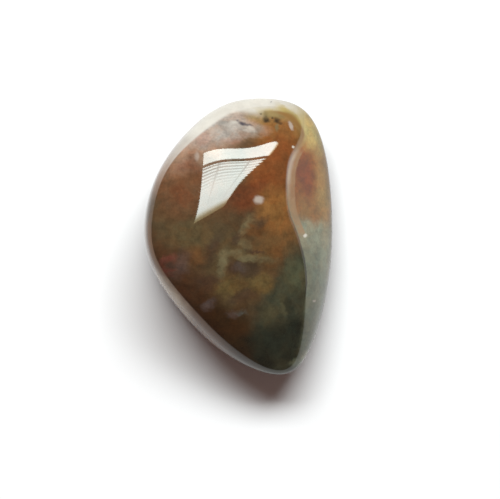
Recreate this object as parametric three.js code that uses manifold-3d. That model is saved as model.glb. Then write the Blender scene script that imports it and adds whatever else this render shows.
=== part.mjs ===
import * as THREE from "three";
import { mergeVertices } from "three/addons/utils/BufferGeometryUtils.js";
import Module from "manifold-3d";

// A tumbled sardonyx pebble: one polished stone with worn faces, lying on a small flat spot.
// Millimetres, +Z up, +Y along the stone's length.

// Each worn face looks in a direction, in degrees: azimuth anticlockwise from +X, tilt down from +Z.
// Its distance is from the stone's middle, in millimetres.
const FACES = {
  rightSide: { azimuth: -12, tilt: 84, distance: 8.6 },
  upperRightSide: { azimuth: 33, tilt: 70, distance: 11.2 },
  topEnd: { azimuth: 118, tilt: 93, distance: 10.5 },
  upperLeftSide: { azimuth: 143, tilt: 90, distance: 8.3 },
  leftSide: { azimuth: 174, tilt: 87, distance: 7.5 },
  lowerLeftSide: { azimuth: 214, tilt: 88, distance: 7.1 },
  lowerLeftEnd: { azimuth: 237, tilt: 89, distance: 8.5 },
  bottomEnd: { azimuth: 316, tilt: 96, distance: 13.4 },
  lowerRightSide: { azimuth: 346, tilt: 88, distance: 9.0 },
  rightFlank: { azimuth: 9, tilt: 50, distance: 5.2 },
  lowerRightFlank: { azimuth: 349, tilt: 61, distance: 6.8 },
  topShoulder: { azimuth: 79, tilt: 36, distance: 6.4 },
  leftShoulder: { azimuth: 164, tilt: 21, distance: 7.9 },
  lowerLeftShoulder: { azimuth: 261, tilt: 31, distance: 6.8 },
  lowerShoulder: { azimuth: 269, tilt: 32, distance: 7.2 },
  crown: { azimuth: 78, tilt: 10, distance: 5.2 },
  lowerCrown: { azimuth: 330, tilt: 23, distance: 4.7 },
  underRight: { azimuth: 5, tilt: 149, distance: 6.0 },
  underTop: { azimuth: 84, tilt: 150, distance: 6.7 },
  underLeft: { azimuth: 181, tilt: 141, distance: 6.8 },
  underBottom: { azimuth: 271, tilt: 148, distance: 6.4 },
  restingFace: { azimuth: 0, tilt: 180, distance: 4.1 },
};

// Shallow hollows and swells, as a share of the distance to the middle. The spread is in radians.
const SWELLS = {
  flankHollow: { azimuth: 23, tilt: 68, height: -0.024, spread: 0.32 },
  topEndSwell: { azimuth: 62, tilt: 63, height: 0.024, spread: 0.195 },
};

const EDGE_SHARPNESS = 8.2; // how tightly the stone turns from one worn face to the next
const FOOT_DEPTH = 0.06; // how much the flat spot takes off the stone's lowest point
const CUTTER_SIZE = 40; // the block that cuts the flat spot, wider than the stone
const SPHERE_DETAIL = 18; // splits of each icosahedron edge

const STONE_COLOUR = 0x6f4e34;
const STONE_ROUGHNESS = 0.08;

function directionOf({ azimuth, tilt }) {
  const azimuthRadians = THREE.MathUtils.degToRad(azimuth);
  const tiltRadians = THREE.MathUtils.degToRad(tilt);
  return new THREE.Vector3(
    Math.sin(tiltRadians) * Math.cos(azimuthRadians),
    Math.sin(tiltRadians) * Math.sin(azimuthRadians),
    Math.cos(tiltRadians),
  );
}

const faces = Object.values(FACES).map((face) => ({ ...face, normal: directionOf(face) }));
const swells = Object.values(SWELLS).map((swell) => ({ ...swell, centre: directionOf(swell) }));

// The distance from the middle to the surface: the nearest face decides it, and its neighbours round it off.
function radiusTowards(direction) {
  let closeness = 0;
  for (const face of faces) {
    const share = Math.max(0, face.normal.dot(direction)) / face.distance;
    closeness += share ** EDGE_SHARPNESS;
  }
  let swelling = 1;
  for (const swell of swells) {
    const away = 1 - swell.centre.dot(direction);
    swelling += swell.height * Math.exp(-away / swell.spread ** 2);
  }
  return closeness ** (-1 / EDGE_SHARPNESS) * swelling;
}

// Keeps only positions, so that vertices in one place merge and the surface is closed.
function closedSurface(geometry) {
  geometry.deleteAttribute("normal");
  geometry.deleteAttribute("uv");
  return mergeVertices(geometry);
}

function wornStoneGeometry() {
  const geometry = closedSurface(new THREE.IcosahedronGeometry(1, SPHERE_DETAIL));
  const position = geometry.getAttribute("position");
  const direction = new THREE.Vector3();
  for (let i = 0; i < position.count; i++) {
    direction.fromBufferAttribute(position, i).normalize();
    direction.multiplyScalar(radiusTowards(direction));
    position.setXYZ(i, direction.x, direction.y, direction.z);
  }
  geometry.computeBoundingBox();
  return geometry;
}

function footCutterGeometry(lowestZ) {
  const box = new THREE.BoxGeometry(CUTTER_SIZE, CUTTER_SIZE, CUTTER_SIZE);
  box.translate(0, 0, lowestZ + FOOT_DEPTH - CUTTER_SIZE / 2);
  return closedSurface(box);
}

function solidOf(wasm, geometry) {
  const mesh = new wasm.Mesh({
    numProp: 3,
    vertProperties: new Float32Array(geometry.getAttribute("position").array),
    triVerts: new Uint32Array(geometry.index.array),
  });
  return new wasm.Manifold(mesh);
}

function geometryOf(solid) {
  const mesh = solid.getMesh();
  const geometry = new THREE.BufferGeometry();
  geometry.setAttribute("position", new THREE.BufferAttribute(mesh.vertProperties, 3));
  geometry.setIndex(new THREE.BufferAttribute(mesh.triVerts, 1));
  return geometry;
}

// Puts the middle of the box's underside at the origin.
function standOnOrigin(geometry) {
  geometry.computeBoundingBox();
  const { min, max } = geometry.boundingBox;
  geometry.translate(-(min.x + max.x) / 2, -(min.y + max.y) / 2, -min.z);
  geometry.computeVertexNormals();
  return geometry;
}

const wasm = await Module();
wasm.setup();

const worn = wornStoneGeometry();
const cutter = footCutterGeometry(worn.boundingBox.min.z);
const cutStone = solidOf(wasm, worn).subtract(solidOf(wasm, cutter));

const stone = new THREE.Mesh(
  standOnOrigin(geometryOf(cutStone)),
  new THREE.MeshStandardMaterial({
    color: STONE_COLOUR,
    roughness: STONE_ROUGHNESS,
    metalness: 0,
  }),
);
stone.name = "stone";

const sardonyx = new THREE.Group();
sardonyx.add(stone);

export default sardonyx;
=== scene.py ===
import math

import bpy
import numpy as np
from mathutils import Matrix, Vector


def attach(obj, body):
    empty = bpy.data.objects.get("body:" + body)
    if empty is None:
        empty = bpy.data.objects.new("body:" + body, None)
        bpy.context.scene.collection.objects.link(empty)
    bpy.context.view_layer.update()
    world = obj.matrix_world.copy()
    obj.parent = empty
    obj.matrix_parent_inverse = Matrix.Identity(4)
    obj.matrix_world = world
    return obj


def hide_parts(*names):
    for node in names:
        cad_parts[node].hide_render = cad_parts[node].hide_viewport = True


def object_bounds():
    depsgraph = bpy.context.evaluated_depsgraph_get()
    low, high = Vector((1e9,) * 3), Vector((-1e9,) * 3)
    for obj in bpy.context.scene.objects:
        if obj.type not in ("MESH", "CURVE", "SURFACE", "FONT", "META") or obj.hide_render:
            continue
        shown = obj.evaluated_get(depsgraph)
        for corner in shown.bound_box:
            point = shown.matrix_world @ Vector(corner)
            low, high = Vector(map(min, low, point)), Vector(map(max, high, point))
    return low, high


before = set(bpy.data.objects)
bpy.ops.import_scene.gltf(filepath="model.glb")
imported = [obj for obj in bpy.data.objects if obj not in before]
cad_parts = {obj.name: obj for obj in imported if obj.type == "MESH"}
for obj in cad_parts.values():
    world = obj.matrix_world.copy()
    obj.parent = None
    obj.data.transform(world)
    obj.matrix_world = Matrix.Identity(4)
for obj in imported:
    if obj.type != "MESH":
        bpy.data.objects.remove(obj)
cad_low, cad_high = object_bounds()

MM = 0.001

# The stone's shape: the same worn faces and swells as the part, in degrees and millimetres.
FACES = {
    "right side": (-12, 84, 8.6),
    "upper right side": (33, 70, 11.2),
    "top end": (118, 93, 10.5),
    "upper left side": (143, 90, 8.3),
    "left side": (174, 87, 7.5),
    "lower left side": (214, 88, 7.1),
    "lower left end": (237, 89, 8.5),
    "bottom end": (316, 96, 13.4),
    "lower right side": (346, 88, 9.0),
    "right flank": (9, 50, 5.2),
    "lower right flank": (349, 61, 6.8),
    "top shoulder": (79, 36, 6.4),
    "left shoulder": (164, 21, 7.9),
    "lower left shoulder": (261, 31, 6.8),
    "lower shoulder": (269, 32, 7.2),
    "crown": (78, 10, 5.2),
    "lower crown": (330, 23, 4.7),
    "under right": (5, 149, 6.0),
    "under top": (84, 150, 6.7),
    "under left": (181, 141, 6.8),
    "under bottom": (271, 148, 6.4),
    "resting face": (0, 180, 4.1),
}
SWELLS = {
    "flank hollow": (23, 68, -0.024, 0.32),
    "top end swell": (62, 63, 0.024, 0.195),
}
EDGE_SHARPNESS = 8.2
FOOT_DEPTH = 0.06

# Faint waves left by tumbling. Each has its rates along X, Y and Z, its start and its height as a
# share of the distance to the stone's middle.
WAVES = (
    ((9.0, 4.0, 3.0), 0.6, 0.0004),
    ((-4.0, 8.0, 6.0), 2.1, 0.0004),
    ((3.0, -7.0, 9.0), 4.4, 0.0003),
)

# Six patches make the surface, each a square grid. In the bake map they lie in rows of three.
GRID = 120  # squares along each side of a patch
PATCH_COUNT = 6
PATCH_COLUMNS = 3
PATCH_GAP = 0.01  # margin round each patch in the bake map
MERGE_DIGITS = 6  # neighbouring patches agree on their shared edges to this many digits

# The search for the surface above a place in plan, and for the way it faces there.
FIRST_HEIGHT = 4.0  # from the stone's middle
LEAST_HEIGHT = 0.1
HEIGHT_STEPS = 60
NORMAL_STEP = 1e-3  # radians to the two neighbours that give the slope
TILTED_AXIS = (0.0, 0.3, 1.0)

# The camera looks straight down. Its axis meets the stone's widest level a little off the middle.
PICTURE_WIDTH = 500
PIXELS_PER_MM = 13.08
WIDEST_LEVEL = 4.2
CAMERA_HEIGHT = 300.0
CAMERA_X = 0.90
CAMERA_Y = -1.01
SENSOR = 36.0
CLIP_RANGE = (0.01, 20.0)  # metres

# Where the window shows on the stone, in plan. Each row runs from the window's left side to its
# right side, at a height given as a share from the sill, nearest the stone's top end, to the head.
MIRRORED_ROWS = {
    0.00: (
        (-2.59, 6.28), (-2.09, 6.46), (-1.22, 6.61), (0.14, 6.62),
        (1.51, 6.82), (2.61, 7.15), (3.13, 7.09),
    ),
    0.20: (
        (-2.65, 5.22), (-2.16, 5.41), (-1.37, 5.65), (-0.16, 5.73),
        (0.98, 5.82), (1.83, 5.94), (2.26, 5.97),
    ),
    0.45: (
        (-2.75, 3.89), (-2.32, 4.09), (-1.71, 4.35), (-0.76, 4.53),
        (0.17, 4.65), (0.73, 4.77), (1.01, 4.83),
    ),
    0.72: (
        (-2.94, 2.41), (-2.61, 2.60), (-2.16, 2.87), (-1.43, 3.15),
        (-0.77, 3.40), (-0.31, 3.58), (-0.09, 3.66),
    ),
    1.00: (
        (-3.33, 0.94), (-3.06, 1.09), (-2.71, 1.29), (-2.18, 1.59),
        (-1.73, 1.86), (-1.26, 2.14), (-1.03, 2.28),
    ),
}
ROW_COLUMNS = (0.0, 0.12, 0.27, 0.5, 0.7, 0.9, 1.0)
FIT_POWERS = (6, 5)  # terms across and up in the smooth fit through the rows
WINDOW_GRID = 40
WINDOW_DISTANCE = 600.0

# The window's light. Places are shares of its width, from the left, and of its height, from the
# sill. A pair says where a change begins and where it is complete.
WINDOW_GLOW = 17.6
WINDOW_COLOUR = (0.88, 1.0, 0.965, 1)
WINDOW_HEM_COLOUR = (1.0, 0.85, 0.4, 1)
GLOW_STOPS = ((0.0, 0.90), (0.2, 1.0), (0.45, 0.96), (0.72, 0.82), (1.0, 0.72))
DIM_ACROSS = (0.4, -0.1)
DIM_UP = (0.4, 0.1)
DIMMING = 0.3
HEM_UP = (1.03, 0.84)
HEM_ACROSS = (1.01, 0.955)
LEAST_HEM = 0.25

# The blind in front of it: a rail, thin slats above it and two cords. Widths are shares too.
RAIL_PLACE = 0.20
RAIL_EDGE = (0.028, 0.016)
RAIL_DARKNESS = 0.97
SLATS_BEGIN = (0.20, 0.21)
SLAT_SPACING = 0.0475
SLAT_EDGE = (0.38, 0.10)  # in spacings, from a slat's middle line
SLATS_FADE_UP = (0.68, 0.15)
SLATS_FADE_ACROSS = (2.2, -0.6)
SLAT_DARKNESS = 0.9
# The slats' ends stand out again at the right side, like teeth.
TEETH_ACROSS = (0.88, 0.97)
TEETH_UP = (0.85, 0.5)
CORD_PLACES = (0.27, 0.70)
CORD_EDGE = (0.022, 0.006)
CORDS_FADE_UP = (0.95, 0.2)
CORD_DARKNESS = 0.5

# Soft daylight from beyond the stone's top end, a dim warm room and a pale floor. Sizes in metres.
DAYLIGHT_DIRECTION = (90, 36)  # azimuth and tilt down from straight up, in degrees
DAYLIGHT_SIZE = (0.55, 0.2)
DAYLIGHT_POWER = 6.0  # watts
DAYLIGHT_COLOUR = (0.94, 0.99, 1.0)
ROOM_COLOUR = (0.135, 0.088, 0.078, 1)
FLOOR_SIZE = 3.0
FLOOR_COLOUR = (0.86, 0.86, 0.86, 1)
FLOOR_ROUGHNESS = 0.9

# The stone's colours, as they show on a screen, from 0 to 255.
COLOURS = {
    "umber": (77, 60, 40),
    "warm brown": (98, 67, 45),
    "peach": (138, 110, 90),
    "veil grey": (154, 143, 133),
    "chalk": (190, 185, 174),
    "ochre": (168, 148, 86),
    "dull ochre": (134, 116, 76),
    "ochre brown": (124, 86, 46),
    "olive ochre": (98, 79, 46),
    "olive": (84, 72, 46),
    "rust": (112, 65, 33),
    "rust brown": (96, 63, 34),
    "crimson brown": (92, 49, 28),
    "orange brown": (129, 87, 45),
    "amber": (132, 78, 18),
    "dull amber": (122, 88, 42),
    "deep amber": (112, 50, 6),
    "rim brown": (104, 68, 30),
    # painted reflection of lit paper on the lower left rim
    "painted paper reflection": (178, 158, 128),
    "chestnut": (72, 46, 28),
    "dark chestnut": (55, 36, 17),
    "dusk brown": (62, 47, 37),
    "moss": (60, 61, 46),
    "fern": (78, 78, 56),
    "black moss": (34, 38, 29),
    "grey green": (99, 103, 83),
    "pale grey green": (129, 128, 104),
    "sage": (106, 95, 68),
    "violet grey": (86, 76, 74),
    "blue grey": (92, 94, 86),
    "rose": (140, 92, 76),
    "crimson": (118, 62, 54),
    # painted reflection of bright paper, beside the ridge
    "painted_reflection_strip": (148, 114, 76),
    "milk": (165, 152, 140),
    "white": (205, 200, 186),
    "black": (40, 36, 28),
    "slate": (60, 57, 66),
    "tan": (146, 113, 60),
}

# Each mark: colour, middle and half sizes in plan in millimetres, turn in degrees, the share of
# its radius over which it fades, and its strength. Later marks lie over earlier ones.
ZONES = (
    ("warm brown", (-3.6, 4.2), (3.2, 2.2), 20, 0.50, 0.90),
    ("peach", (-2.4, 6.8), (3.4, 1.2), 28, 0.50, 0.90),
    ("veil grey", (-1.4, 8.6), (3.7, 1.4), 22, 0.45, 0.90),
    ("chalk", (-0.8, 9.8), (3.6, 0.7), 12, 0.60, 0.60),
    ("dull ochre", (2.3, 9.1), (1.5, 0.6), -8, 0.50, 0.85),
    ("ochre brown", (3.4, 7.7), (2.4, 1.4), -15, 0.40, 0.95),
    ("veil grey", (0.9, 8.1), (1.3, 0.5), 5, 0.60, 0.55),
    ("rust", (2.6, 5.0), (1.9, 3.0), -12, 0.45, 0.95),
    ("crimson brown", (0.8, 3.0), (1.8, 1.0), 25, 0.50, 0.80),
    ("orange brown", (3.0, 2.1), (1.4, 1.6), 0, 0.50, 0.90),
    ("ochre brown", (3.2, -0.4), (1.7, 1.9), 10, 0.60, 0.50),
    ("rust brown", (2.7, -2.2), (1.0, 1.2), 20, 0.60, 0.70),
    ("olive ochre", (0.2, -2.9), (2.4, 1.9), 15, 0.60, 0.45),
    ("olive", (-3.0, -0.2), (2.6, 1.2), -5, 0.50, 0.50),
    ("chestnut", (-4.2, -3.9), (4.4, 1.7), -51, 0.50, 0.85),
    ("dark chestnut", (-0.6, -7.5), (3.4, 1.8), -40, 0.50, 0.90),
    ("moss", (4.8, -6.3), (3.3, 6.1), -14, 0.22, 0.95),
    ("fern", (4.3, -2.9), (0.9, 1.1), 0, 0.70, 0.75),
    ("black moss", (2.9, -7.9), (2.6, 1.4), 20, 0.50, 0.85),
)
CLOUDS = (
    ("rose", (-2.8, 7.4), (0.5, 0.45), 0, 0.8, 0.3),
    ("rose", (-0.6, 7.3), (0.7, 0.3), 10, 0.8, 0.25),
    ("rose", (-4.2, 5.3), (0.5, 0.4), 40, 0.8, 0.2),
    ("crimson brown", (-4.0, 3.0), (0.6, 0.9), 20, 0.7, 0.40),
    ("crimson brown", (-3.4, 5.4), (0.5, 0.7), 0, 0.7, 0.50),
    ("rust brown", (1.2, 0.4), (0.9, 0.5), 10, 0.6, 0.7),
    ("dusk brown", (1.7, 1.0), (0.6, 0.25), 45, 0.9, 0.55),
    ("sage", (0.5, 0.75), (1.0, 0.28), 62, 0.8, 0.7),
    ("sage", (0.4, -0.75), (0.45, 0.3), -30, 0.7, 0.6),
    ("dusk brown", (-0.1, -0.25), (0.5, 0.25), 70, 0.6, 0.6),
    ("dusk brown", (-1.9, -0.8), (1.2, 0.45), 58, 0.8, 0.7),
    ("dusk brown", (1.2, -1.15), (0.7, 0.15), -12, 0.6, 0.7),
    ("dusk brown", (0.35, -2.4), (1.5, 0.5), -3, 0.7, 0.75),
    ("violet grey", (0.1, -2.25), (0.45, 0.25), 0, 0.9, 0.3),
    ("sage", (0.7, -1.62), (1.7, 0.27), -8, 0.75, 0.75),
    ("sage", (-1.2, -2.1), (0.95, 0.38), 78, 0.75, 0.85),
    ("olive ochre", (-0.9, -3.8), (1.0, 0.6), 10, 0.5, 0.9),
    ("olive ochre", (1.75, -3.6), (0.9, 0.7), -10, 0.5, 0.9),
    ("dusk brown", (0.4, -4.5), (0.9, 0.45), 10, 0.6, 0.6),
    ("rust brown", (-3.3, -1.6), (1.0, 0.5), 20, 0.7, 0.5),
    ("dusk brown", (-2.3, -3.4), (0.9, 0.6), 0, 0.7, 0.6),
    ("violet grey", (-2.2, -5.15), (0.5, 0.34), 20, 0.9, 0.7),
    ("violet grey", (-0.3, -5.9), (0.4, 0.3), 10, 0.9, 0.5),
    ("blue grey", (0.2, -5.7), (0.35, 0.2), 10, 0.9, 0.6),
    ("violet grey", (-4.5, -2.2), (0.5, 0.9), -35, 0.8, 0.4),
    ("crimson", (-5.3, -1.7), (0.5, 0.3), 30, 0.8, 0.5),
    ("crimson", (-5.4, -2.6), (0.35, 0.4), 0, 0.8, 0.45),
    ("fern", (4.4, -3.2), (0.5, 0.35), 0, 0.6, 0.8),
    ("fern", (3.3, -5.2), (0.4, 0.8), 10, 0.8, 0.5),
    ("olive", (2.4, -5.9), (0.5, 0.7), 0, 0.7, 0.5),
    ("black moss", (3.9, -5.4), (0.35, 1.0), 5, 0.6, 0.6),
    ("black moss", (4.3, -7.0), (0.7, 0.6), 20, 0.5, 1.0),
    ("black moss", (2.0, -9.5), (0.6, 0.3), -20, 0.6, 0.8),
    ("black moss", (3.7, -9.2), (0.6, 0.35), 30, 0.6, 0.8),
    ("grey green", (4.3, -9.8), (0.5, 0.4), 0, 0.6, 0.8),
)
CAP_MARKS = (
    ("ochre", (3.0, 9.3), (1.4, 0.45), -18, 0.50, 0.8),
    ("ochre", (6.0, 8.0), (2.4, 2.2), -50, 0.40, 0.9),
    ("ochre", (4.0, 9.2), (1.2, 0.25), -40, 0.50, 0.7),
    ("veil grey", (-5.6, 5.2), (1.2, 2.6), -35, 0.50, 0.7),
    ("peach", (-6.6, 3.2), (1.6, 2.6), -15, 0.60, 0.9),
)
FLANK_MARKS = (
    ("pale grey green", (6.0, 0.3), (1.8, 1.4), 0, 0.6, 0.9),
    ("moss", (5.3, -7.2), (0.9, 2.4), -8, 0.7, 0.45),
    ("amber", (5.6, 5.4), (2.4, 4.3), 6, 0.12, 1.0),
    ("dull amber", (5.6, 2.2), (1.2, 1.1), 0, 0.6, 0.8),
    ("ochre", (6.1, 8.2), (1.4, 1.9), 20, 0.5, 0.95),
    ("tan", (6.7, 3.8), (0.7, 2.8), 4, 0.6, 1.0),
    ("pale grey green", (6.8, -1.6), (0.6, 1.8), 0, 0.6, 0.75),
    ("pale grey green", (5.2, -9.3), (0.5, 0.6), 0, 0.6, 0.7),
    ("deep amber", (5.0, 4.7), (0.6, 1.6), 8, 0.6, 0.85),
)
SPOTS = (
    ("milk", (4.02, 8.42), (0.34, 0.13), -62, 0.5, 0.85),
    ("sage", (2.95, 8.3), (0.12, 0.28), 0, 0.6, 0.7),
    ("white", (4.2, 6.8), (0.10, 0.10), 0, 0.5, 0.8),
    ("milk", (1.55, 2.75), (0.35, 0.30), -20, 0.5, 0.95),
    ("milk", (-3.1, 6.05), (0.15, 0.3), 0, 0.6, 0.5),
    ("white", (5.1, 0.06), (0.16, 0.13), 0, 0.5, 0.9),
    ("milk", (5.8, -4.95), (0.12, 0.09), 0, 0.6, 0.7),
    ("milk", (-1.7, 8.0), (0.35, 0.15), 20, 0.7, 0.5),
    ("chalk", (-0.35, 8.65), (0.3, 0.14), 10, 0.8, 0.5),
    ("chalk", (0.95, 8.2), (0.35, 0.15), -35, 0.9, 0.5),
    ("chalk", (0.6, 8.05), (0.25, 0.10), -10, 0.9, 0.35),
    ("slate", (0.3, 8.6), (0.22, 0.12), -20, 0.8, 0.9),
    ("slate", (0.6, 8.5), (0.2, 0.08), -20, 0.8, 0.7),
    ("slate", (0.92, 8.45), (0.2, 0.07), -15, 0.8, 0.65),
    ("slate", (-0.05, 8.8), (0.1, 0.07), -15, 0.8, 0.6),
    ("dull ochre", (2.5, 9.35), (0.6, 0.2), -5, 0.6, 0.7),
    ("black", (2.1, 9.05), (0.16, 0.3), 0, 0.9, 0.5),
    ("black", (2.15, 8.8), (0.24, 0.16), 10, 0.9, 0.85),
    ("black", (2.95, 8.8), (0.22, 0.18), -15, 0.9, 0.85),
    ("black", (3.25, 8.6), (0.2, 0.12), -20, 0.9, 0.6),
    ("black", (2.6, 9.05), (0.12, 0.08), 0, 0.6, 0.7),
    ("black", (1.75, 9.35), (0.08, 0.08), 0, 0.6, 0.6),
    ("slate", (2.5, 10.3), (0.08, 0.06), 0, 0.6, 0.6),
    # Painted shade: a dark spot on the rim where a small pit lies, which the shape doesn't have.
    ("black", (6.5, -6.0), (0.16, 0.13), 60, 0.5, 0.9),
)
ANY_HEIGHT = 1e6  # a mark's half size upwards, so large that it goes down through the stone
NOISE_MIDDLE = 0.5
UPPER_FADE = (1.6, 3.9)  # the marks of the upper side fade out over these heights

# The ridge is where the right flank falls away. Widths are in millimetres past it. A pair says
# where a change begins and where it is complete, and a triple gives both ends and their softness.
RIDGE_ENDS = (-3.5, 8.3)  # along the stone
RIDGE_SEARCH = (2.6, 7.0)  # across the stone
RIDGE_ROWS = 60
RIDGE_COLUMNS = 160
RIDGE_RUN_OUT = 0.12  # below its end the ridge goes on straight, towards the middle line
FLANK_EDGE = (-0.04, 0.05)
FLANK_SOFTENS = (-3.8, -7.0)  # along the stone, towards its bottom end
FLANK_SOFTNESS = (0.1, 0.4)  # how far the soft edge reaches, before and past the ridge
# The pale strip beside the ridge is a painted reflection of bright paper.
REFLECTION_STRIP_WIDTH = (0.05, 0.6, 0.07)
REFLECTION_STRIP_LENGTH = (0.1, 6.5, 0.4)
REFLECTION_STRIP_CLOUDS = ((0.3, 0.55), (0.7, 0.95))
CREASE_WIDTH = (-0.06, 0.04, 0.05)
CREASE_LENGTH = (-4.6, -1.0, 0.7)
CREASE_STRENGTH = 0.75

# The rims are where the polished stone is steep enough to mirror the paper. Painted light lies on
# some of them: a painted reflection of lit paper at the lower left, and a partly painted glow round
# the top end.
SLOPE_OF_RIM = 46.0  # degrees
SLOPE_SOFTNESS = 2.0
EARLY_RIM = ((2.5, 9.3), (2.3, 1.1), -15, 0.5)  # here the pale rim starts at a gentler slope
EARLY_RIM_STEP = 0.078
RIM_FADE = (2.9, 4.2)  # heights over which the colours laid on the rims, in part painted light, set in
RIM_LEVEL_PART = (2.0, 2.0)  # middle and half length, along the stone, of their level part
RIM_SINKING = 0.22  # the slope by which they reach lower beyond it
RIM_RAGGED = 1.6  # how unevenly they end, in millimetres
# The pale cap on the steep rim round the top end is partly the stone's pale layer and partly
# painted light: the glow where the window lights the thin, translucent edge.
CAP_START = (2.0, 5.4)  # along the stone
CAP_END = (0.4, -0.1)  # past the ridge
CAP_HAZE = ((0.3, 0.9), (0.7, 1.08))
CAP_STRENGTH = 0.85
BROWN_RIM = ((-6.5, -4.5), (8.0, 3.4), -55, 0.3)
BROWN_RIM_STRENGTH = 0.9
# A painted reflection: the pale tan on the lower left rim stands for the lit paper that the rim
# mirrors.
PAINTED_REFLECTION_RIM = ((-5.7, -4.6), (2.8, 1.0), -52, 0.5)
PAINTED_REFLECTION_RIM_STRENGTH = 0.9
THIN_LINE = ((4.2, 8.6), (2.1, 1.5), -40, 0.5)
THIN_LINE_PART = (0.25, 0.75, 0.2)  # the part of the rim's soft edge that it takes
THIN_LINE_STRENGTH = 0.7

# Cloudiness and polish. The stops are a noise level and the brightness there.
CLOUD_LEVELS = ((0.25, 0.66), (0.5, 1.0), (0.75, 1.3))
TWO_TINTS = ((1.07, 0.98, 0.92, 1), (0.95, 1.01, 1.03, 1))
TINT_EDGE = (0.38, 0.62)
GRAIN_LEVELS = ((0.3, 0.88), (0.7, 1.12))
POLISH = (0.012, 0.024)  # least roughness, and how much more there is in dull places
QUARTZ_IOR = 1.544


def paint(name):
    """A named screen colour as the linear levels that a shader takes."""
    levels = np.array(COLOURS[name]) / 255
    linear = np.where(levels <= 0.04045, levels / 12.92, ((levels + 0.055) / 1.055) ** 2.4)
    return (*linear.tolist(), 1)


class Graph:
    """Adds nodes to a material, one short call each."""

    def __init__(self, material):
        material.use_nodes = True
        self.nodes = material.node_tree.nodes
        self.links = material.node_tree.links
        self.nodes.clear()

    def add(self, kind, inputs=None, **settings):
        node = self.nodes.new(kind)
        for name, value in settings.items():
            setattr(node, name, value)
        for key, value in (inputs or {}).items():
            self.feed(node.inputs[key], value)
        return node

    def feed(self, socket, value):
        if isinstance(value, bpy.types.NodeSocket):
            self.links.new(value, socket)
        else:
            socket.default_value = value

    def math(self, operation, first, second=0.0):
        return self.add("ShaderNodeMath", {0: first, 1: second}, operation=operation).outputs[0]

    def rise(self, value, low, high):
        """0 at low, 1 at high and smooth between. It falls where high is below low."""
        inputs = {"Value": value, "From Min": low, "From Max": high}
        return self.add("ShaderNodeMapRange", inputs, interpolation_type="SMOOTHSTEP").outputs[0]

    def ramp(self, value, stops):
        """A grey level for each value: straight lines between stops of position and level."""
        node = self.add("ShaderNodeValToRGB", {0: value})
        elements = node.color_ramp.elements
        while len(elements) < len(stops):
            elements.new(0.5)
        for element, (position, level) in zip(elements, stops):
            element.position = position
            element.color = (level, level, level, 1)
        return node.outputs[0]

    def product(self, *factors):
        total = factors[0]
        for factor in factors[1:]:
            total = self.math("MULTIPLY", total, factor)
        return total

    def parts(self, vector):
        return self.add("ShaderNodeSeparateXYZ", {0: vector}).outputs

    def vector(self, operation, first, second):
        inputs = {0: first, 1: second}
        return self.add("ShaderNodeVectorMath", inputs, operation=operation).outputs["Vector"]

    def length(self, vector):
        return self.add("ShaderNodeVectorMath", {0: vector}, operation="LENGTH").outputs["Value"]

    def noise(self, place, scale, detail=2.0, roughness=0.5):
        inputs = {"Vector": place, "Scale": scale, "Detail": detail, "Roughness": roughness}
        return self.add("ShaderNodeTexNoise", inputs).outputs

    def warped(self, place, scale, reach, detail=1.0):
        """The place moved by smooth noise, by up to about half the reach."""
        drift = self.noise(place, scale, detail)["Color"]
        drift = self.vector("SUBTRACT", drift, (NOISE_MIDDLE, NOISE_MIDDLE, NOISE_MIDDLE))
        return self.vector("ADD", place, self.vector("MULTIPLY", drift, (reach, reach, reach)))

    def mark(self, place, middle, half_sizes, turn, fading):
        """1 inside an ellipse in plan, at any height, and 0 outside, fading round its edge."""
        node = self.add("ShaderNodeMapping", {"Vector": place}, vector_type="TEXTURE")
        node.inputs["Location"].default_value = (*middle, 0)
        node.inputs["Rotation"].default_value = (0, 0, math.radians(turn))
        node.inputs["Scale"].default_value = (*half_sizes, ANY_HEIGHT)
        return self.rise(self.length(node.outputs[0]), 1 + fading, 1 - fading)

    def lay(self, colour, place, marks):
        """The colour with a list of marks laid over it."""
        for name, middle, half_sizes, turn, fading, strength in marks:
            inside = self.mark(place, middle, half_sizes, turn, fading)
            colour = self.mix(self.product(inside, strength), colour, paint(name))
        return colour

    def times(self, colour, factor):
        """The colour made lighter, darker or tinted."""
        return self.mix(1.0, colour, factor, blend="MULTIPLY")

    def mix(self, factor, first, second, blend="MIX"):
        """Two colours mixed: the node's colours are its inputs 6 and 7 and its output 2."""
        inputs = {0: factor, 6: first, 7: second}
        node = self.add("ShaderNodeMix", None, data_type="RGBA", blend_type=blend)
        for key, value in inputs.items():
            self.feed(node.inputs[key], value)
        return node.outputs[2]


def direction_of(azimuth, tilt):
    azimuth, tilt = math.radians(azimuth), math.radians(tilt)
    return np.array([
        math.sin(tilt) * math.cos(azimuth),
        math.sin(tilt) * math.sin(azimuth),
        math.cos(tilt),
    ])


def radius_towards(directions):
    """Distance from the stone's middle to its surface, in millimetres."""
    closeness = np.zeros(len(directions))
    for azimuth, tilt, distance in FACES.values():
        share = np.maximum(0, directions @ direction_of(azimuth, tilt)) / distance
        closeness += share ** EDGE_SHARPNESS
    swelling = np.ones(len(directions))
    for azimuth, tilt, height, spread in SWELLS.values():
        away = 1 - directions @ direction_of(azimuth, tilt)
        swelling += height * np.exp(-away / spread ** 2)
    for rates, start, height in WAVES:
        swelling += height * np.sin(directions @ np.array(rates) + start)
    return closeness ** (-1 / EDGE_SHARPNESS) * swelling


def unit(vectors):
    return vectors / np.linalg.norm(vectors, axis=-1, keepdims=True)


def surface_points(directions):
    return directions * radius_towards(directions)[:, None]


def surface_normals(directions):
    """Outward normals of the smooth surface, one for each direction."""
    side = unit(np.cross(directions, TILTED_AXIS))
    other = np.cross(directions, side)
    middle = surface_points(directions)
    first = surface_points(unit(directions + NORMAL_STEP * side))
    second = surface_points(unit(directions + NORMAL_STEP * other))
    normals = unit(np.cross(first - middle, second - middle))
    return normals * np.sign((normals * directions).sum(axis=1, keepdims=True))


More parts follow.
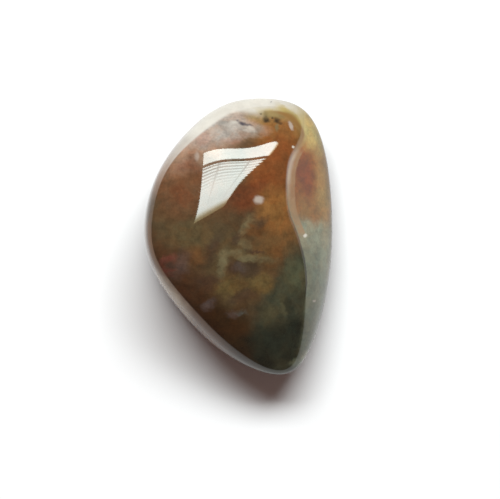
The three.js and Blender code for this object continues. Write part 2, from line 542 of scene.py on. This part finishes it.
def cube_patches():
    """Directions of six square grids that wrap the stone, spaced evenly over its surface."""
    half_size = np.array((cad_high - cad_low) / 2) / MM
    turns = np.tan(np.linspace(-1, 1, GRID + 1) * math.pi / 4)
    across, along = np.meshgrid(turns, turns, indexing="ij")
    patches = []
    for axis in range(3):
        for sign in (1, -1):
            corners = np.zeros((GRID + 1, GRID + 1, 3))
            corners[..., axis] = sign
            corners[..., (axis + 1) % 3] = across * sign
            corners[..., (axis + 2) % 3] = along
            patches.append(unit(corners * half_size))
    return patches


def quads_of(patch_number):
    first = patch_number * (GRID + 1) ** 2
    index = first + np.arange((GRID + 1) ** 2).reshape(GRID + 1, GRID + 1)
    corners = (index[:-1, :-1], index[1:, :-1], index[1:, 1:], index[:-1, 1:])
    return np.stack([c.ravel() for c in corners], axis=1)


def bake_places():
    """A place in the bake map for each grid point."""
    steps = np.linspace(PATCH_GAP, 1 - PATCH_GAP, GRID + 1)
    across, along = np.meshgrid(steps, steps, indexing="ij")
    places = []
    for number in range(PATCH_COUNT):
        row, column = divmod(number, PATCH_COLUMNS)
        patch = np.stack([across + column, along + row], axis=-1) / PATCH_COLUMNS
        places.append(patch.reshape(-1, 2))
    return np.concatenate(places)


def stone_shape():
    """Vertices, quads and bake places of the stone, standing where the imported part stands."""
    directions = np.concatenate([p.reshape(-1, 3) for p in cube_patches()])
    quads = np.concatenate([quads_of(n) for n in range(PATCH_COUNT)])
    _, first, merged = np.unique(
        np.round(directions, MERGE_DIGITS), axis=0, return_index=True, return_inverse=True
    )
    merged = merged.reshape(-1)
    points = surface_points(directions[first])
    lowest = points[:, 2].min()
    points[:, 2] = np.maximum(points[:, 2], lowest + FOOT_DEPTH)
    shift = move_to_part(points)
    return points + shift, merged[quads], bake_places()[quads], shift


def move_to_part(points):
    """The move, in millimetres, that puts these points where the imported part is."""
    low, high = points.min(0), points.max(0)
    target = np.array((cad_low + cad_high) / 2) / MM
    shift = target - (low + high) / 2
    shift[2] = np.array(cad_low)[2] / MM - low[2]
    return shift


def make_stone():
    points, quads, places, shift = stone_shape()
    mesh = bpy.data.meshes.new("polished_stone")
    mesh.from_pydata((points * MM).tolist(), [], quads.tolist())
    layer = mesh.uv_layers.new(name="OFBake")
    layer.data.foreach_set("uv", places.reshape(-1))
    mesh.polygons.foreach_set("use_smooth", np.ones(len(quads), bool))
    add_ridge_places(mesh, points, shift)
    mesh.validate()
    stone = bpy.data.objects.new("polished_stone", mesh)
    bpy.context.scene.collection.objects.link(stone)
    return stone, shift


def add_ridge_places(mesh, points, shift):
    """Stores how far each vertex lies past the ridge, the line where the right flank falls away."""
    rows = np.linspace(*RIDGE_ENDS, RIDGE_ROWS)
    columns = np.linspace(*RIDGE_SEARCH, RIDGE_COLUMNS)
    across, along = np.meshgrid(columns, rows)
    _, normals = points_over(np.column_stack([across.ravel(), along.ravel()]), shift)
    steep = normals[:, 2].reshape(across.shape) < math.cos(math.radians(SLOPE_OF_RIM))
    steep[:, -1] = True
    ridge = columns[steep.argmax(axis=1)]
    run_out = RIDGE_RUN_OUT * np.minimum(0, points[:, 1] - RIDGE_ENDS[0])
    past = points[:, 0] - np.interp(points[:, 1], rows, ridge) - run_out
    layer = mesh.attributes.new("past_ridge", "FLOAT", "POINT")
    layer.data.foreach_set("value", past)


def points_over(places, shift):
    """Surface points above places in plan, and their normals, in millimetres."""
    plan = places - shift[:2]
    height = np.full(len(plan), FIRST_HEIGHT)
    for _ in range(HEIGHT_STEPS):
        reach = radius_towards(unit(np.column_stack([plan, height])))
        left = reach ** 2 - (plan ** 2).sum(axis=1)
        height = (height + np.sqrt(np.maximum(left, LEAST_HEIGHT ** 2))) / 2
    points = np.column_stack([plan, height])
    return points + shift, surface_normals(unit(points))


def add_camera():
    data = bpy.data.cameras.new("camera")
    data.sensor_width = SENSOR
    reach = CAMERA_HEIGHT - WIDEST_LEVEL
    data.lens = PIXELS_PER_MM * reach * SENSOR / PICTURE_WIDTH
    data.clip_start, data.clip_end = CLIP_RANGE
    camera = bpy.data.objects.new("camera", data)
    camera.location = (CAMERA_X * MM, CAMERA_Y * MM, CAMERA_HEIGHT * MM)
    bpy.context.scene.collection.objects.link(camera)
    bpy.context.scene.camera = camera


def window_points(places, shift):
    """Where the stone sends the camera's view at places in plan, at the window's distance."""
    points, normals = points_over(places, shift)
    looking = unit(points - np.array([CAMERA_X, CAMERA_Y, CAMERA_HEIGHT]))
    mirrored = looking - 2 * (looking * normals).sum(axis=1, keepdims=True) * normals
    return (points + mirrored * WINDOW_DISTANCE) * MM


def window_terms(across, up):
    """Powers of a place on the window, for a smooth fit through its rows."""
    most_across, most_up = FIT_POWERS
    powers = [across ** i * up ** j for i in range(most_across) for j in range(most_up)]
    return np.stack(powers, axis=-1)


def mirrored_places(across, up):
    """Where places on the window show on the stone, in plan."""
    known_across, known_up = np.meshgrid(ROW_COLUMNS, list(MIRRORED_ROWS))
    known_places = np.array(list(MIRRORED_ROWS.values())).reshape(-1, 2)
    terms = window_terms(known_across.ravel(), known_up.ravel())
    fit, *_ = np.linalg.lstsq(terms, known_places, rcond=None)
    return window_terms(across, up) @ fit


def window_light():
    """Bright panes behind a blind."""
    material = bpy.data.materials.new("window light")
    graph = Graph(material)
    place = graph.add("ShaderNodeUVMap").outputs[0]
    across, up = graph.parts(place)[:2]
    hem = graph.product(graph.rise(up, *HEM_UP), graph.rise(across, *HEM_ACROSS))
    dimming = graph.product(graph.rise(across, *DIM_ACROSS), graph.rise(up, *DIM_UP), DIMMING)
    glow = graph.product(
        graph.ramp(up, GLOW_STOPS),
        graph.math("MAXIMUM", hem, LEAST_HEM),
        graph.math("SUBTRACT", 1.0, dimming),
        graph.math("SUBTRACT", 1.0, blind_shade(graph, across, up)),
        WINDOW_GLOW,
    )
    colour = graph.mix(hem, WINDOW_HEM_COLOUR, WINDOW_COLOUR)
    emission = graph.add("ShaderNodeEmission", {"Color": colour, "Strength": glow})
    graph.add("ShaderNodeOutputMaterial", {"Surface": emission.outputs[0]})
    return material


def blind_shade(graph, across, up):
    """How much of the light the rail, the slats and the cords take."""
    past_rail = graph.math("SUBTRACT", up, RAIL_PLACE)
    rail = graph.rise(graph.math("ABSOLUTE", past_rail), *RAIL_EDGE)
    shade = graph.product(rail, RAIL_DARKNESS)

    above_rail = graph.rise(up, *SLATS_BEGIN)
    turn = graph.math("PINGPONG", graph.math("DIVIDE", past_rail, SLAT_SPACING), 0.5)
    fade = graph.product(
        graph.rise(up, *SLATS_FADE_UP), graph.rise(across, *SLATS_FADE_ACROSS), SLAT_DARKNESS
    )
    teeth = graph.product(graph.rise(across, *TEETH_ACROSS), graph.rise(up, *TEETH_UP))
    slats = graph.product(
        graph.rise(turn, *SLAT_EDGE), graph.math("MAXIMUM", fade, teeth), above_rail
    )
    shade = graph.math("MAXIMUM", shade, slats)

    for cord_place in CORD_PLACES:
        away = graph.math("ABSOLUTE", graph.math("SUBTRACT", across, cord_place))
        cord = graph.product(
            graph.rise(away, *CORD_EDGE), graph.rise(up, *CORDS_FADE_UP), above_rail, CORD_DARKNESS
        )
        shade = graph.math("MAXIMUM", shade, cord)
    return shade


def add_window(shift):
    steps = np.linspace(0, 1, WINDOW_GRID + 1)
    up, across = [grid.ravel() for grid in np.meshgrid(steps, steps, indexing="ij")]
    places = np.column_stack([across, up])
    points = window_points(mirrored_places(across, up), shift)
    index = np.arange(len(points)).reshape(WINDOW_GRID + 1, -1)
    corners = (index[:-1, :-1], index[:-1, 1:], index[1:, 1:], index[1:, :-1])
    quads = np.stack([c.ravel() for c in corners], axis=1)
    mesh = bpy.data.meshes.new("window")
    mesh.from_pydata(points.tolist(), [], quads.tolist())
    layer = mesh.uv_layers.new(name="window")
    layer.data.foreach_set("uv", places[quads].reshape(-1))
    mesh.materials.append(window_light())
    window = bpy.data.objects.new("window", mesh)
    bpy.context.scene.collection.objects.link(window)
    window.visible_camera = False
    window.visible_diffuse = False
    window.visible_shadow = False


def add_daylight():
    data = bpy.data.lights.new("daylight", "AREA")
    data.shape = "RECTANGLE"
    data.size, data.size_y = DAYLIGHT_SIZE
    data.energy = DAYLIGHT_POWER
    data.color = DAYLIGHT_COLOUR
    light = bpy.data.objects.new("daylight", data)
    towards = Vector(direction_of(*DAYLIGHT_DIRECTION))
    light.location = towards * WINDOW_DISTANCE * MM
    light.rotation_mode = "QUATERNION"
    light.rotation_quaternion = towards.to_track_quat("Z", "Y")
    light.visible_glossy = False
    light.visible_camera = False
    bpy.context.scene.collection.objects.link(light)


def add_room():
    world = bpy.data.worlds.new("room")
    bpy.context.scene.world = world
    world.use_nodes = True
    background = world.node_tree.nodes["Background"]
    background.inputs["Color"].default_value = ROOM_COLOUR


def add_floor():
    mesh = bpy.data.meshes.new("floor")
    half = FLOOR_SIZE / 2
    corners = [(-half, -half, 0), (half, -half, 0), (half, half, 0), (-half, half, 0)]
    mesh.from_pydata(corners, [], [(0, 1, 2, 3)])
    floor = bpy.data.objects.new("floor", mesh)
    bpy.context.scene.collection.objects.link(floor)
    material = bpy.data.materials.new("paper white")
    material.use_nodes = True
    shader = material.node_tree.nodes["Principled BSDF"]
    shader.inputs["Base Color"].default_value = FLOOR_COLOUR
    shader.inputs["Roughness"].default_value = FLOOR_ROUGHNESS
    shader.inputs["Specular IOR Level"].default_value = 0.0
    mesh.materials.append(material)


def between(graph, value, low, high, soft):
    """1 between two values and 0 outside, over a soft step at each end."""
    return graph.product(
        graph.rise(value, low - soft, low + soft), graph.rise(value, high + soft, high - soft)
    )


def crown_colour(graph, ragged):
    """The upper face: broad zones, then small clouds in them."""
    colour = graph.lay(paint("umber"), ragged, ZONES)
    torn = graph.warped(ragged, scale=2.2, reach=0.7, detail=4.0)
    return graph.lay(colour, torn, CLOUDS)


def flank_mask(graph, past_ridge, along):
    """1 on the right flank. Its edge is sharp at first and soft near the bottom end."""
    softness = graph.rise(along, *FLANK_SOFTENS)
    before, past = FLANK_SOFTNESS
    start = graph.math("SUBTRACT", FLANK_EDGE[0], graph.product(softness, before))
    end = graph.math("ADD", FLANK_EDGE[1], graph.product(softness, past))
    return graph.rise(past_ridge, start, end)


def with_painted_reflection_strip(graph, colour, ragged, past_ridge, along):
    """The pale strip beside the upper ridge, a painted reflection of bright paper, and the dark
    crease on the lower one.
    """
    painted_reflection_strip = graph.product(
        between(graph, past_ridge, *REFLECTION_STRIP_WIDTH),
        between(graph, along, *REFLECTION_STRIP_LENGTH),
        graph.ramp(graph.noise(ragged, scale=1.6, detail=4.0)["Fac"], REFLECTION_STRIP_CLOUDS),
    )
    colour = graph.mix(painted_reflection_strip, colour, paint("painted_reflection_strip"))
    crease = graph.product(
        between(graph, past_ridge, *CREASE_WIDTH),
        between(graph, along, *CREASE_LENGTH),
        CREASE_STRENGTH,
    )
    return graph.mix(crease, colour, paint("black"))


def rim_masks(graph, place):
    """One mask of where the stone is steep, and one of what lies above about its widest level."""
    upright = graph.add("ShaderNodeTexCoord").outputs["Normal"]
    upright = graph.parts(upright)[2]
    early = graph.product(graph.mark(place, *EARLY_RIM), EARLY_RIM_STEP)
    slopes = (SLOPE_OF_RIM - SLOPE_SOFTNESS, SLOPE_OF_RIM + SLOPE_SOFTNESS)
    uprights = [math.cos(math.radians(slope)) for slope in slopes]
    steep = graph.rise(graph.math("SUBTRACT", upright, early), *uprights)

    along, height = graph.parts(place)[1:]
    middle, half_length = RIM_LEVEL_PART
    beyond = graph.math("ABSOLUTE", graph.math("SUBTRACT", along, middle))
    beyond = graph.math("MAXIMUM", graph.math("SUBTRACT", beyond, half_length), 0.0)
    ragged = graph.noise(place, scale=0.6, detail=4.0)["Fac"]
    ragged = graph.math("SUBTRACT", ragged, NOISE_MIDDLE)
    level = graph.math("ADD", height, graph.product(beyond, RIM_SINKING))
    level = graph.math("ADD", level, graph.product(ragged, RIM_RAGGED))
    return steep, graph.rise(level, *RIM_FADE)


def with_rims(graph, colour, place, ragged, past_ridge):
    """The pale cap round the top end, partly the stone's pale layer and partly a painted glow of
    light through its thin edge; the brown rim at the left; the tan rim there, a painted reflection
    of lit paper; and a thin line.
    """
    steep, high = rim_masks(graph, place)
    ragged_along = graph.parts(ragged)[1]
    # Partly painted light: the glow of the lit thin edge round the top end.
    cap = graph.product(
        graph.rise(ragged_along, *CAP_START), graph.rise(past_ridge, *CAP_END), CAP_STRENGTH
    )
    haze = graph.ramp(graph.noise(ragged, scale=0.8, detail=3.0)["Fac"], CAP_HAZE)
    pale_layer_and_glow_colour = graph.times(graph.lay(paint("chalk"), ragged, CAP_MARKS), haze)
    colour = graph.mix(graph.product(steep, high, cap), colour, pale_layer_and_glow_colour)

    brown = graph.product(steep, high, graph.mark(ragged, *BROWN_RIM), BROWN_RIM_STRENGTH)
    colour = graph.mix(brown, colour, paint("rim brown"))
    # Painted reflection of lit paper on the lower left rim.
    pale = graph.product(steep, high, graph.mark(ragged, *PAINTED_REFLECTION_RIM), PAINTED_REFLECTION_RIM_STRENGTH)
    colour = graph.mix(pale, colour, paint("painted paper reflection"))

    line = graph.product(
        between(graph, steep, *THIN_LINE_PART), graph.mark(place, *THIN_LINE), THIN_LINE_STRENGTH
    )
    return graph.mix(line, colour, paint("ochre brown"))


def top_colour(graph, place):
    """The colours of the upper side, from broad zones down to small spots."""
    drifting = graph.warped(place, scale=0.5, reach=1.0)
    ragged = graph.warped(drifting, scale=1.7, reach=0.6, detail=3.0)
    along = graph.parts(place)[1]
    past_ridge = graph.add("ShaderNodeAttribute", None, attribute_name="past_ridge").outputs["Fac"]

    flank = graph.lay(paint("grey green"), ragged, FLANK_MARKS)
    on_flank = flank_mask(graph, past_ridge, along)
    colour = mottled(graph, graph.mix(on_flank, crown_colour(graph, ragged), flank), place)

    colour = with_painted_reflection_strip(graph, colour, ragged, past_ridge, along)
    colour = with_rims(graph, colour, place, ragged, past_ridge)
    return graph.lay(colour, graph.warped(place, scale=2.6, reach=0.3, detail=3.0), SPOTS)


def under_colour(graph, place):
    """The lower side: the broad zones go on through the stone, in looser shapes."""
    loose = graph.warped(place, scale=0.35, reach=2.6)
    loose = graph.warped(loose, scale=1.3, reach=1.2, detail=3.0)
    return mottled(graph, graph.lay(paint("umber"), loose, ZONES), place)


def mottled(graph, colour, place):
    """Cloudy light and dark, with warmer and cooler tints and a fine grain."""
    drifting = graph.warped(place, scale=0.9, reach=0.9)
    clouds = graph.noise(drifting, scale=1.2, detail=5.0, roughness=0.62)["Fac"]
    colour = graph.times(colour, graph.ramp(clouds, CLOUD_LEVELS))
    drifting = graph.warped(place, scale=1.1, reach=0.8)
    tints = graph.noise(drifting, scale=0.8, detail=4.0, roughness=0.6)["Fac"]
    tint = graph.mix(graph.rise(tints, *TINT_EDGE), *TWO_TINTS)
    colour = graph.times(colour, tint)
    grain = graph.noise(place, scale=5.5, detail=3.0, roughness=0.7)["Fac"]
    return graph.times(colour, graph.ramp(grain, GRAIN_LEVELS))


def stone_material():
    material = bpy.data.materials.new("sardonyx")
    graph = Graph(material)
    metres = graph.add("ShaderNodeTexCoord").outputs["Object"]
    place = graph.vector("MULTIPLY", metres, (1 / MM, 1 / MM, 1 / MM))
    height = graph.parts(place)[2]
    high = graph.rise(height, *UPPER_FADE)
    colour = graph.mix(high, under_colour(graph, place), top_colour(graph, place))

    least, more = POLISH
    dull = graph.product(graph.noise(place, scale=0.7, detail=3.0)["Fac"], more)
    inputs = {"Base Color": colour, "Roughness": graph.math("ADD", dull, least), "IOR": QUARTZ_IOR}
    shader = graph.add("ShaderNodeBsdfPrincipled", inputs)
    graph.add("ShaderNodeOutputMaterial", {"Surface": shader.outputs[0]})
    return material


bpy.context.scene.view_settings.view_transform = "Standard"
add_camera()
add_room()
add_floor()
add_daylight()
stone, shift = make_stone()
add_window(shift)
stone.data.materials.append(stone_material())
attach(stone, "root")
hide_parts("stone")
